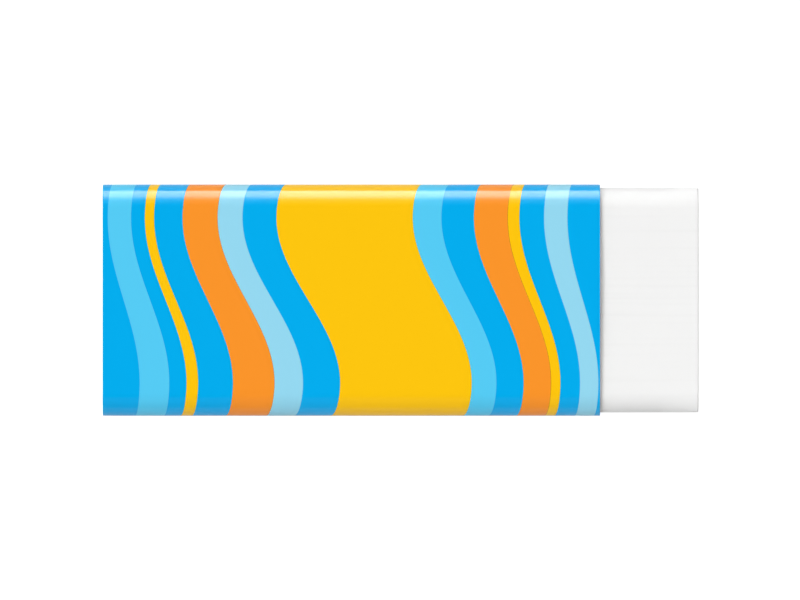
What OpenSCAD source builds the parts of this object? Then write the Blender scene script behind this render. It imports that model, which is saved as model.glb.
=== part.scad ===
// Vinyl block eraser in a printed card sleeve.
//
// The block is a bar with four rounded long edges, cut square at both ends. It lies on its wide
// side with its length along X. The sleeve is one strip of card: it starts as a flap under the
// block, is folded once round it, and its last panel is glued over that flap on the underside.
// Both ends of the sleeve are open, so it slides along the block.
//
// Origin: middle of the overall length and width, on the surface that the sleeve rests on.
// Units: millimetres.

/* [Eraser block] */
// Length of the block
block_l = 62; // [54:0.5:90]
// Width of the block
block_w = 23.5; // [20:0.5:40]
// Thickness of the block
block_h = 12; // [8:0.5:20]
// Radius of the block's four long edges
long_edge_r = 2; // [0.5:0.1:3.5]

/* [Card sleeve] */
// Length of the sleeve
sleeve_l = 52; // [25:0.5:60]
// Thickness of the card
card_t = 0.3; // [0.2:0.05:0.5]
// Distance from the inner flap's cut edge to the start of the fold that it points at
flap_setback = 3.5; // [0.5:0.1:8]
// Distance from the last panel's cut edge to the start of the fold that it points at
seam_setback = 0.5; // [0.2:0.1:3]

/* [Fit] */
// Gap between the block and the card on every side
slip = 0.05; // [0.03:0.01:0.3]
// How far the block's tail end lies inside the sleeve
tail_inset = 0.3; // [0:0.1:5]

/* [Hidden] */
$fn = 96;

// Lengths along X
overall_l = block_l + tail_inset;
tail_x = -overall_l / 2;

// Flat widths between the block's rounded edges
wide_flat = block_w - 2 * long_edge_r;
side_flat = block_h - 2 * long_edge_r;

// Inside radius of the card's folds, which run round the block's edges
fold_r = long_edge_r + slip;

// The inner flap lies on the last panel, and the block lies on the flap
flap_w = wide_flat - flap_setback;
flap_top_z = 2 * card_t;
block_z = flap_top_z + slip;

// Widths of the strip's straight runs, from its inner cut edge to its outer one. The second side is
// one card longer than the first, because the last panel passes under the flap.
strip_runs = [
    flap_w,
    side_flat,
    wide_flat,
    side_flat + card_t,
    wide_flat - seam_setback
];

// Carries a flat section, drawn in Y and Z, along X from start_x for the given length
module along_x(start_x, length) {
    translate([start_x, 0, 0])
        rotate([90, 0, 90])
            linear_extrude(length)
                children();
}

// Rectangle of size w by h with its corners rounded to radius r
module rounded_rectangle(w, h, r) {
    translate([r, 0]) square([w - 2 * r, h]);
    translate([0, r]) square([w, h - 2 * r]);
    for (y = [r, w - r], z = [r, h - r])
        translate([y, z]) circle(r);
}

// Section of a quarter turn to the left, from the origin heading along +X of the section
module quarter_fold() {
    outer_r = fold_r + card_t;
    translate([0, fold_r])
        intersection() {
            difference() {
                circle(outer_r);
                circle(fold_r);
            }
            translate([0, -outer_r]) square(outer_r);
        }
}

// Section of the strip from run i onwards: a straight run, then a quarter fold before the next one.
// The card lies to the right of its own path, so the path is the face that looks at the block.
module folded_strip(runs, i = 0) {
    translate([0, -card_t]) square([runs[i], card_t]);
    if (i < len(runs) - 1)
        translate([runs[i], 0]) {
            quarter_fold();
            translate([fold_r, fold_r])
                rotate(90)
                    folded_strip(runs, i + 1);
        }
}

module eraser_block() {
    color("whitesmoke")
        along_x(tail_x + tail_inset, block_l)
            translate([-block_w / 2, block_z])
                rounded_rectangle(block_w, block_h, long_edge_r);
}

module card_sleeve() {
    color("deepskyblue")
        along_x(tail_x, sleeve_l)
            translate([wide_flat / 2 - flap_w, flap_top_z])
                folded_strip(strip_runs);
}

eraser_block();
card_sleeve();
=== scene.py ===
# %% [markdown]
# # A block eraser in its printed card sleeve
#
# The real thing is two pieces. One is a bar of soft white vinyl with rounded long edges, cut to
# length with a blade. The other is a single strip of printed card, folded once round the bar and
# glued to itself underneath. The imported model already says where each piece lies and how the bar
# slides, so this script only gives them their true surfaces, and lights and frames them.

# %% Load the fixed frame
from math import cos, pi, radians, sin

import bpy
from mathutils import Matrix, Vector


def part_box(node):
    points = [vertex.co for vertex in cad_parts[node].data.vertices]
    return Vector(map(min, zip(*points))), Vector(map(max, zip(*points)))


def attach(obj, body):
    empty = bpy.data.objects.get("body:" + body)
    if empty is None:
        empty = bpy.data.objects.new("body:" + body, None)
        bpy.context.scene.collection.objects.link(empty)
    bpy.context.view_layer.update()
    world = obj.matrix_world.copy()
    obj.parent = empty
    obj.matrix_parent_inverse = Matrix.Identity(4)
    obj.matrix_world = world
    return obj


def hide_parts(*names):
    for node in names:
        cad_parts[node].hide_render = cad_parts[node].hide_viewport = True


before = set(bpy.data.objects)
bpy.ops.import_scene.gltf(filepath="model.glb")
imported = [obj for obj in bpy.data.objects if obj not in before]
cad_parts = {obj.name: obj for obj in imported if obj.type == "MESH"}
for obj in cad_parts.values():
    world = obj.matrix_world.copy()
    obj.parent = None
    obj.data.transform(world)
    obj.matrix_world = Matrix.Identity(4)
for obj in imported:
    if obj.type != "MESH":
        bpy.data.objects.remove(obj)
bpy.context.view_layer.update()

MM = 0.001

# %% [markdown]
# ## Sizes
#
# Blender works in metres here. A size that the frame can give is measured from it, so that the
# looks follow the model. The bar lies on two layers of card and is covered by one, with the same
# small slip at both faces, so the two gaps give both the card's thickness and the slip. Only the
# edge radius and the places of the two cut edges can't be read from boxes, and they are named.

# %% Sizes of the bar and the card
bar_low, bar_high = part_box("eraser_block")
card_low, card_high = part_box("card_sleeve")

gap_below = bar_low.z - card_low.z
gap_above = card_high.z - bar_high.z
card_t = gap_below - gap_above
slip = gap_above - card_t

long_edge_r = 2 * MM
flap_setback = 3.5 * MM
seam_setback = 0.5 * MM

bar_w = bar_high.y - bar_low.y
bar_h = bar_high.z - bar_low.z
wide_flat = bar_w - 2 * long_edge_r
side_flat = bar_h - 2 * long_edge_r
sleeve_l = card_high.x - card_low.x
print(f"card {card_t / MM:.2f} mm, slip {slip / MM:.2f} mm, sleeve {sleeve_l / MM:.1f} mm")

# %% [markdown]
# ## One way to make both meshes
#
# Both pieces are a flat section carried along X, like the bar leaving its die. The section could
# be a curve with an extrusion, but a mesh made from rows of points gives control over where the
# loops of faces fall. Round stretches get many short steps, and a flat one gets a loop close to
# each of its ends, which keeps the smooth shading of the round from leaking across the flat.

# %% Helpers for points and meshes
SUPPORT = 0.15 * MM
ROW_STEP = 4 * MM
BEND_STEPS = 16
CUT_ANGLE = 40


def stations(length, step):
    """Places along a straight run: both ends, a loop close to each, and even steps between."""
    count = max(1, round((length - 2 * SUPPORT) / step))
    inner = [SUPPORT + (length - 2 * SUPPORT) * i / count for i in range(count + 1)]
    return [0.0] + inner + [length]


def mesh_piece(name, points, faces, materials):
    """A smooth mesh object with its materials, linked into the scene."""
    mesh = bpy.data.meshes.new(name)
    mesh.from_pydata(points, [], faces)
    mesh.polygons.foreach_set("use_smooth", [True] * len(faces))
    for material in materials:
        mesh.materials.append(material)
    piece = bpy.data.objects.new(name, mesh)
    bpy.context.scene.collection.objects.link(piece)
    print(name, len(points), "points", len(faces), "faces")
    return piece


def soften_cuts(piece, width, segments):
    """Rounds the cut edges a little, because no blade leaves a perfectly sharp corner."""
    bevel = piece.modifiers.new("soft_cuts", "BEVEL")
    bevel.limit_method = "ANGLE"
    bevel.angle_limit = radians(CUT_ANGLE)
    bevel.width = width
    bevel.segments = segments
    bevel.harden_normals = True


print("stations on 10 mm:", [round(p / MM, 2) for p in stations(10 * MM, ROW_STEP)])

# %% [markdown]
# ## Sums on sockets
#
# The finishes are made of nodes. Written out node by node, a formula such as the edge of a wave
# is hard to read, so one small class stands for a node's output and lets Python's own signs add
# the Math nodes. Its one method for any other kind of node sets that node up, fills or links
# its sockets, and gives back one output. Colours go through a Mix node, as a Math node would
# turn them grey.

# %% A socket that can be used in sums
MIX_FACTOR, MIX_A, MIX_B, MIX_COLOUR = 0, 6, 7, 2


class Wire:
    """One output of a node, used like a number. With no socket it only makes nodes."""

    def __init__(self, tree, socket=None):
        self.tree = tree
        self.socket = socket

    def node(self, kind, settings=None, inputs=None, output=0):
        made = self.tree.nodes.new(kind)
        for name, value in (settings or {}).items():
            setattr(made, name, value)
        for name, value in (inputs or {}).items():
            if isinstance(value, Wire):
                self.tree.links.new(value.socket, made.inputs[name])
            else:
                made.inputs[name].default_value = value
        return Wire(self.tree, made.outputs[output])

    def maths(self, operation, *values):
        return self.node("ShaderNodeMath", {"operation": operation}, dict(enumerate(values)))

    def __add__(self, other):
        return self.maths("ADD", self, other)

    def __radd__(self, other):
        return self.maths("ADD", other, self)

    def __sub__(self, other):
        return self.maths("SUBTRACT", self, other)

    def __rsub__(self, other):
        return self.maths("SUBTRACT", other, self)

    def __mul__(self, other):
        return self.maths("MULTIPLY", self, other)

    def __rmul__(self, other):
        return self.maths("MULTIPLY", other, self)

    def __truediv__(self, other):
        return self.maths("DIVIDE", self, other)

    def __gt__(self, other):
        return self.maths("GREATER_THAN", self, other)

    def __lt__(self, other):
        return self.maths("LESS_THAN", self, other)

    def sine(self):
        return self.maths("SINE", self)

    def rise(self, start, end):
        """0 up to start, 1 from end on, and a smooth step between."""
        values = {"Value": self, "From Min": start, "From Max": end}
        return self.node("ShaderNodeMapRange", {"interpolation_type": "SMOOTHSTEP"}, values)

    def choose(self, colour, other, way="MIX"):
        """The colour where this wire is 1, and the other where it is 0, mixed in this way."""
        values = {MIX_FACTOR: self, MIX_A: other, MIX_B: colour}
        return self.node("ShaderNodeMix", {"data_type": "RGBA", "blend_type": way}, values, MIX_COLOUR)


def ink(red, green, blue):
    """A printed colour, given in the 0 to 255 steps of a picture, as linear light."""
    def linear(step):
        share = step / 255
        return share / 12.92 if share <= 0.04045 else ((share + 0.055) / 1.055) ** 2.4
    return (linear(red), linear(green), linear(blue), 1.0)


def new_finish(name, **constants):
    """A material, its Principled shader with these constants, and a wire to make nodes with."""
    finish = bpy.data.materials.new(name)
    finish.use_nodes = True
    shader = finish.node_tree.nodes["Principled BSDF"]
    for socket, value in constants.items():
        shader.inputs[socket.replace("_", " ")].default_value = value
    return finish, shader, Wire(finish.node_tree)


def feed(shader, socket, wire):
    wire.tree.links.new(wire.socket, shader.inputs[socket])


def grain(wires, stretch, scale, detail=3.0):
    """Noise over the piece. A stretch below 1 along an axis draws the grain out along it."""
    place = wires.node("ShaderNodeTexCoord", output="Object")
    drawn = wires.node("ShaderNodeVectorMath", {"operation": "MULTIPLY"}, {0: place, 1: stretch})
    return wires.node("ShaderNodeTexNoise", None, {"Vector": drawn, "Scale": scale, "Detail": detail})


def relief(height, depth):
    """A bump of this depth in metres, from a height between 0 and 1."""
    return height.node("ShaderNodeBump", None, {"Height": height, "Distance": depth}, "Normal")


print("orange ink in linear light:", [round(c, 3) for c in ink(250, 148, 42)[:3]])

# %% [markdown]
# ## The vinyl
#
# A vinyl eraser is a soft, filled plastic. Light goes a little way in, so it looks milky and not
# chalky, which a small subsurface weight gives. Its long faces come out of the die with faint
# lines along the bar and a satin sheen. The blade leaves the ends duller, with coarser lines the
# way it went, so the ends get a finish of their own. Soft light hides a shallow bump, so the
# lines also carry painted shade: their hollows are a shade darker in colour, standing in for the
# shade the bump would cast. A fine bloom lies over both finishes and makes the sheen uneven.

# %% Finishes of the vinyl: die-drawn faces and knife-cut ends
VINYL = (0.885, 0.885, 0.88, 1.0)
# Where the painted shade in the lines' hollows starts, and where it is full.
HOLLOW_SHADE_START, HOLLOW_SHADE_FULL = 0.50, 0.75
BLOOM_SCALE = 900
BLOOM_SHARE = 0.3
BLOOM_ROUGHNESS = 0.10


def vinyl_finish(name, stretch, scale, depth, roughness, shade):
    finish, shader, wires = new_finish(
        name, Subsurface_Weight=0.35, Subsurface_Scale=MM, Subsurface_Radius=(1, 1, 1), IOR=1.46
    )
    lines = grain(wires, stretch, scale)
    bloom = grain(wires, (1, 1, 1), BLOOM_SCALE)
    # Painted shade: the hollows of the lines are darkened in colour, in place of the shade the shallow bump
    # would cast.
    painted_hollow_shade = tuple(channel * shade for channel in VINYL[:3]) + (1.0,)
    feed(shader, "Base Color", lines.rise(HOLLOW_SHADE_START, HOLLOW_SHADE_FULL).choose(painted_hollow_shade, VINYL))
    feed(shader, "Roughness", roughness + BLOOM_ROUGHNESS * bloom)
    feed(shader, "Normal", relief((1 - BLOOM_SHARE) * lines + BLOOM_SHARE * bloom, depth))
    return finish


drawn_vinyl = vinyl_finish("drawn_vinyl", (0.02, 1, 1), 1600, 0.02 * MM, 0.42, 0.98)
cut_vinyl = vinyl_finish("cut_vinyl", (1, 1, 0.05), 1500, 0.03 * MM, 0.62, 0.965)
print("made", drawn_vinyl.name, "and", cut_vinyl.name)

# %% [markdown]
# ## The bar
#
# The bar is a rectangle with rounded corners, carried along X. As the vinyl cools it shrinks a
# little in the middle of each face, the wide faces more than the narrow ones. A tenth of a
# millimetre can't be seen as a shape, but it bends the sheen on a face, and it lets the card's
# edge stand clear of the bar and throw a wider shadow. A Bevel modifier breaks the edges of the
# cut ends.

# %% The bar's section and mesh
BAR_STEP = 1.5 * MM
SINK_SHARE = 0.006
END_BREAK = 0.2 * MM


def bar_section():
    """Points (y, z) round the bar, starting at the foot of the +Y side."""
    middle_z = (bar_low.z + bar_high.z) / 2
    sides = [(side_flat, bar_w / 2), (wide_flat, bar_h / 2)] * 2
    section = []
    for turn, (flat, reach) in enumerate(sides):
        angle = turn * pi / 2
        for along in stations(flat, BAR_STEP)[:-1]:
            share = 2 * along / flat - 1
            out = reach - SINK_SHARE * flat * (1 - share * share) ** 2
            side = along - flat / 2
            section.append((out * cos(angle) - side * sin(angle), out * sin(angle) + side * cos(angle)))
        for step in range(BEND_STEPS):
            bend = angle + step / BEND_STEPS * pi / 2
            side = flat / 2
            core = reach - long_edge_r
            y = core * cos(angle) - side * sin(angle) + long_edge_r * cos(bend)
            z = core * sin(angle) + side * cos(angle) + long_edge_r * sin(bend)
            section.append((y, z))
    return [(y, z + middle_z) for y, z in section]


def make_bar():
    section = bar_section()
    size = len(section)
    rows = [bar_low.x + along for along in stations(bar_high.x - bar_low.x, ROW_STEP)]
    points = [(x, y, z) for x in rows for y, z in section]
    faces = []
    for row in range(len(rows) - 1):
        for i in range(size):
            j = (i + 1) % size
            here, there = row * size, (row + 1) * size
            faces.append((here + i, here + j, there + j, there + i))
    faces.append(tuple(range(size))[::-1])
    faces.append(tuple(range(len(points) - size, len(points))))
    bar = mesh_piece("vinyl_block", points, faces, [drawn_vinyl, cut_vinyl])
    for cut in bar.data.polygons[-2:]:
        cut.material_index = 1
        cut.use_smooth = False
    soften_cuts(bar, END_BREAK, 3)
    return bar


bar = make_bar()

# %% [markdown]
# ## The print
#
# The card is printed flat, before it is folded, so its pattern is laid out on the flat strip: one
# coordinate runs along the bar, and the other along the strip as it goes round. The mesh of the
# sleeve will carry both as a UV map. The pattern is a set of wavy ribbons in warm and sky
# colours. Each border of a ribbon is one sine wave, and two waves fit once round the sleeve, so
# the ribbons meet themselves where the card ends. The swing is largest in the middle of the
# card. It changes slowly along the bar, so two borders never cross. A printer lets neighbouring
# inks overlap by a hair, so that no white shows if a plate is a little off. The overlap prints
# darker, and Mix in its Multiply way lays one ink over the other.

# %% The ribbons: first border, width, ink (millimetres from the sleeve's tail end)
CYAN = ink(0, 172, 237)
SKY = ink(85, 203, 244)
PALE = ink(148, 216, 240)
YELLOW = ink(253, 197, 12)
ORANGE = ink(250, 148, 42)

RIBBONS = [
    (2.2, 2.8, SKY),
    (6.6, 1.1, YELLOW),
    (11.0, 4.0, ORANGE),
    (15.0, 2.8, PALE),
    (21.5, 14.0, YELLOW),
    (35.5, 2.8, SKY),
    (41.4, 3.2, ORANGE),
    (44.6, 1.1, YELLOW),
    (48.0, 2.2, PALE),
]
END_SWING = 1.4
MIDDLE_SWING = 3.4
TRAP = 0.02

fold_mid_r = long_edge_r + slip + card_t / 2
quarter = fold_mid_r * pi / 2
strip_runs = [
    wide_flat - flap_setback,
    side_flat,
    wide_flat,
    side_flat + card_t,
    wide_flat - seam_setback,
]
once_round = sum(strip_runs[1:]) + seam_setback + 4 * quarter
top_middle = strip_runs[0] + quarter + strip_runs[1] + quarter + wide_flat / 2
strip_l = sum(strip_runs) + 4 * quarter
print(f"once round the sleeve: {once_round / MM:.2f} mm, strip: {strip_l / MM:.2f} mm")


def border(place, swing):
    """Where a ribbon's border runs: a wave about its place along the sleeve."""
    reach = END_SWING + (MIDDLE_SWING - END_SWING) * sin(pi * place * MM / sleeve_l)
    return place + reach * swing


def printed_colour(wires):
    """The ribbons' colours, from the UV map that holds millimetres on the flat card."""
    flat_card = wires.node("ShaderNodeUVMap", {"uv_map": "flat_card"})
    along = flat_card.node("ShaderNodeSeparateXYZ", None, {0: flat_card}, "X")
    round_it = flat_card.node("ShaderNodeSeparateXYZ", None, {0: flat_card}, "Y")
    wave_l = once_round / 2 / MM
    swing = ((round_it - top_middle / MM) * (2 * pi / wave_l)).sine()
    colour = CYAN
    for start, width, printed in RIBBONS:
        left, right = border(start, swing), border(start + width, swing)
        overlapped = (along > left - TRAP / 2) * (along < right + TRAP / 2)
        colour = overlapped.choose(printed, colour, "MULTIPLY")
        clear = (along > left + TRAP / 2) * (along < right - TRAP / 2)
        colour = clear.choose(printed, colour)
    return colour


# %% [markdown]
# ## The card
#
# The strip is packaging board, printed and varnished on one side. The varnish is a clear coat
# over the ink: it gives the bright line of light along the folds. Ink and varnish bend light
# nearly alike, so the ink under it has hardly a sheen of its own. The card is never quite flat:
# its fibres and its slow lay show in the sheen. The inside is bare board, pale grey and rough,
# and the cut edges show the darker core with its layers.

# %% Finishes of the card: printed face, bare inside, cut edge
BOARD_INSIDE = (0.62, 0.61, 0.58, 1.0)
BOARD_INSIDE_FLECK = (0.52, 0.51, 0.48, 1.0)
BOARD_CORE = (0.46, 0.46, 0.45, 1.0)
BOARD_CORE_LAYER = (0.35, 0.35, 0.35, 1.0)
FLECK_START, FLECK_FULL = 0.35, 0.70
FIBRE_SCALE, LAY_SCALE = 2600, 160
FIBRE_SHARE = 0.25
INK_ROUGHNESS, FIBRE_ROUGHNESS = 0.30, 0.08
PRINT_DEPTH = 0.006 * MM


def printed_finish():
    finish, shader, wires = new_finish(
        "printed_card", Specular_IOR_Level=0.05, Coat_Weight=0.7, Coat_Roughness=0.12, Coat_IOR=1.5
    )
    fibres = grain(wires, (0.35, 1, 1), FIBRE_SCALE)
    lay = grain(wires, (1, 1, 1), LAY_SCALE, 1.0)
    colour = printed_colour(wires)
    feed(shader, "Base Color", colour)
    feed(shader, "Roughness", INK_ROUGHNESS + FIBRE_ROUGHNESS * fibres)
    feed(shader, "Normal", relief(FIBRE_SHARE * fibres + (1 - FIBRE_SHARE) * lay, PRINT_DEPTH))
    return finish


def board_finish(name, pale, dark, stretch, scale, depth):
    finish, shader, wires = new_finish(name, Roughness=0.85, IOR=1.45)
    fibres = grain(wires, stretch, scale)
    feed(shader, "Base Color", fibres.rise(FLECK_START, FLECK_FULL).choose(pale, dark))
    feed(shader, "Normal", relief(fibres, depth))
    return finish


printed_card = printed_finish()
bare_board = board_finish("bare_board", BOARD_INSIDE, BOARD_INSIDE_FLECK, (0.3, 1, 1), 2200, 0.012 * MM)
cut_board = board_finish("cut_board", BOARD_CORE, BOARD_CORE_LAYER, (1, 0.3, 0.3), 5200, 0.010 * MM)
print("made", printed_card.name, bare_board.name, cut_board.name)

# %% [markdown]
# ## The sleeve
#
# The sleeve is one strip, so its mesh starts as one sheet: the middle of the card's thickness.
# A walk along the strip's section gives its points, straight for each panel and round a quarter
# turn for each fold. The walk starts at the flap's cut edge and ends on the outside, at the last
# panel's cut edge, so the lap under the bar has two layers with a hairline of glue between.
# Solidify gives the sheet its thickness, with bare board inside and its core on the cut edges.

# %% The walk round the section and the folded sheet
CARD_STEP = 3 * MM
GLUE = 0.015 * MM
CUT_BREAK = 0.06 * MM


def walk_strip():
    """Points (y, z, distance walked) down the middle of the card."""
    y = wide_flat / 2 - strip_runs[0]
    z = 1.5 * card_t + GLUE
    runs = [strip_runs[0], strip_runs[1] - GLUE] + strip_runs[2:]
    walked = 0.0
    path = []
    for turn, run in enumerate(runs):
        heading = turn * pi / 2
        for along in stations(run, CARD_STEP):
            path.append((y + along * cos(heading), z + along * sin(heading), walked + along))
        y, z, walked = path[-1]
        if turn == len(runs) - 1:
            break
        centre = (y - fold_mid_r * sin(heading), z + fold_mid_r * cos(heading))
        for step in range(1, BEND_STEPS):
            bend = heading + step / BEND_STEPS * pi / 2
            at = (centre[0] + fold_mid_r * sin(bend), centre[1] - fold_mid_r * cos(bend))
            path.append((*at, walked + quarter * step / BEND_STEPS))
        after = heading + pi / 2
        y, z = centre[0] + fold_mid_r * sin(after), centre[1] - fold_mid_r * cos(after)
        walked += quarter
    return path


def make_sleeve():
    path = walk_strip()
    size = len(path)
    rows = stations(sleeve_l, ROW_STEP)
    points = [(card_low.x + x, y, z) for x in rows for y, z, walked in path]
    faces = []
    for row in range(len(rows) - 1):
        for i in range(size - 1):
            here, there = row * size, (row + 1) * size
            faces.append((here + i, here + i + 1, there + i + 1, there + i))
    sleeve = mesh_piece("printed_sleeve", points, faces, [printed_card, bare_board, cut_board])
    layout = sleeve.data.uv_layers.new(name="flat_card")
    for loop in sleeve.data.loops:
        row, i = divmod(loop.vertex_index, size)
        layout.data[loop.index].uv = (rows[row] / MM, path[i][2] / MM)
    thickness = sleeve.modifiers.new("card_thickness", "SOLIDIFY")
    thickness.thickness = card_t
    thickness.offset = 0
    thickness.use_even_offset = True
    thickness.material_offset = 1
    thickness.material_offset_rim = 2
    soften_cuts(sleeve, CUT_BREAK, 2)
    return sleeve


sleeve = make_sleeve()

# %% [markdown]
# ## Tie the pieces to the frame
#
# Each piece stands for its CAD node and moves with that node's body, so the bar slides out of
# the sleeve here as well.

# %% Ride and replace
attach(bar, "block")
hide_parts("eraser_block")
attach(sleeve, "sleeve")
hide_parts("card_sleeve")
print("pieces:", bar.name, sleeve.name)

# %% [markdown]
# ## Light
#
# This is a product picture on white: flat, clean colour on the wide face, one bright line along
# the far fold, a darker near fold, and a short soft shadow of the card's edge on the bar. Lamps
# could do it, but a sky worked out from its own direction has no edges to hide and lights every
# view alike. It starts as a dim dome with a brighter ring round it, open on the near side. The
# dome stays dark overhead, so that the varnish doesn't wash out the inks, and a glow along the
# horizon lifts the upright sides. Soft panels are then added. A thin one beyond the far side
# draws the line on the fold, and the ring has a narrow gap there, so that the line fades evenly
# into the ink. Two past the tail end, dim below and bright above, are cut off from the bar by the
# card's edge, which makes the shadow. A dim low one lights the working end.

# %% Panels of the sky: side, half width, lowest and highest angle, upper fade (degrees), strength
PANELS = [
    ("far", 1.9, -20, 28, 36, 11.5),
    ("tail", 50, 10, 27, 6, 0.5),
    ("tail", 50, 27, 50, 8, 3.5),
    ("working", 44, -20, 9, 6, 1.5),
]
PANEL_FADE = 6
SOFT_IN, SOFT_OUT = 0.6, 1.4
DOME, OVERHEAD = 0.22, 76
HORIZON, HORIZON_LOW, HORIZON_HIGH = 0.5, 6, 14
RING, RING_LOW, RING_FULL, RING_HIGH = 1.52, 42, 52, 64
RING_GAP = 6
RING_OPEN, RING_CLOSED = -0.7, -0.1
BACKDROP = 1.0


def height(degrees):
    """The sine of an angle above the horizon, which is what the direction's Z holds."""
    return sin(radians(degrees))


def within(toward, half_width):
    """1 near the middle of a side and 0 away from it, with a soft edge at the half width."""
    return toward.rise(cos(radians(SOFT_OUT * half_width)), cos(radians(SOFT_IN * half_width)))


def panel(up, toward, half_width, low, high, fade):
    """1 inside a soft-edged panel of the sky and 0 outside it."""
    tall = up.rise(height(low), height(low + PANEL_FADE)) * (1 - up.rise(height(high), height(high + fade)))
    return within(toward, half_width) * tall


def studio_light(wires):
    way = wires.node("ShaderNodeTexCoord", output="Generated")
    right, far, up = [wires.node("ShaderNodeSeparateXYZ", None, {0: way}, axis) for axis in "XYZ"]
    across = 1 - up * up
    across = across.maths("SQRT", across)
    sides = {"far": far / across, "tail": (0 - right) / across, "working": right / across}

    below_top = 1 - up.rise(height(RING_HIGH), height(OVERHEAD))
    ring = up.rise(height(RING_LOW), height(RING_FULL)) * sides["far"].rise(RING_OPEN, RING_CLOSED)
    ring = ring * (1 - within(sides["far"], RING_GAP))
    glow = 1 - up.rise(height(HORIZON_LOW), height(HORIZON_HIGH))
    light = (DOME + RING * ring) * below_top + HORIZON * glow
    for side, half_width, low, high, fade, strength in PANELS:
        light = light + strength * panel(up, sides[side], half_width, low, high, fade)
    return light


def make_sky():
    world = bpy.data.worlds.new("studio_sky")
    world.use_nodes = True
    bpy.context.scene.world = world
    wires = Wire(world.node_tree)
    camera_sees = wires.node("ShaderNodeLightPath", output="Is Camera Ray")
    strength = studio_light(wires) * (1 - camera_sees) + BACKDROP * camera_sees
    background = world.node_tree.nodes["Background"]
    background.inputs["Color"].default_value = (1, 1, 1, 1)
    world.node_tree.links.new(strength.socket, background.inputs["Strength"])


make_sky()
print("sky made")

# %% [markdown]
# ## The table
#
# A pale sheet under the eraser. It also gives off a little light of its own to the camera, as an
# overexposed sweep does, so it comes out white with only a faint shadow at the foot of the card.

# %% The table
TABLE_REACH = 3.0
TABLE_DROP = 0.01 * MM
TABLE_TONE = (0.6, 0.6, 0.6, 1.0)
TABLE_GLOW = 0.75
WHITE, BLACK = (1, 1, 1, 1), (0, 0, 0, 1)


def make_table():
    finish, shader, wires = new_finish(
        "white_sweep", Base_Color=TABLE_TONE, Roughness=0.9, Specular_IOR_Level=0.0,
        Emission_Strength=TABLE_GLOW,
    )
    camera_sees = wires.node("ShaderNodeLightPath", output="Is Camera Ray")
    feed(shader, "Emission Color", camera_sees.choose(WHITE, BLACK))
    corners = [(-1, -1), (1, -1), (1, 1), (-1, 1)]
    points = [(TABLE_REACH * x, TABLE_REACH * y, card_low.z - TABLE_DROP) for x, y in corners]
    table = mesh_piece("table", points, [(0, 1, 2, 3)], [finish])


make_table()

# %% [markdown]
# ## Camera
#
# The picture looks straight down on the wide face, with no visible perspective. A very long lens
# far away does that. Its distance follows from how many millimetres of the wide face one pixel
# of the 800 by 600 picture shows.

# %% A long lens straight above
PICTURE_W = 800
PIXEL = 0.10446 * MM
LENS = 800
SENSOR = 36
CENTRE_RIGHT = 0.65
CENTRE_DOWN = 0.1


def make_camera():
    lens = bpy.data.cameras.new("overhead")
    lens.lens = LENS
    lens.sensor_width = SENSOR
    camera = bpy.data.objects.new("overhead", lens)
    distance = PICTURE_W * PIXEL * LENS / SENSOR
    camera.location = (-CENTRE_RIGHT * PIXEL, CENTRE_DOWN * PIXEL, card_high.z + distance)
    bpy.context.scene.collection.objects.link(camera)
    bpy.context.scene.camera = camera
    print(f"camera {distance / MM:.0f} mm above the wide face")


make_camera()
bpy.context.scene.view_settings.view_transform = "Standard"
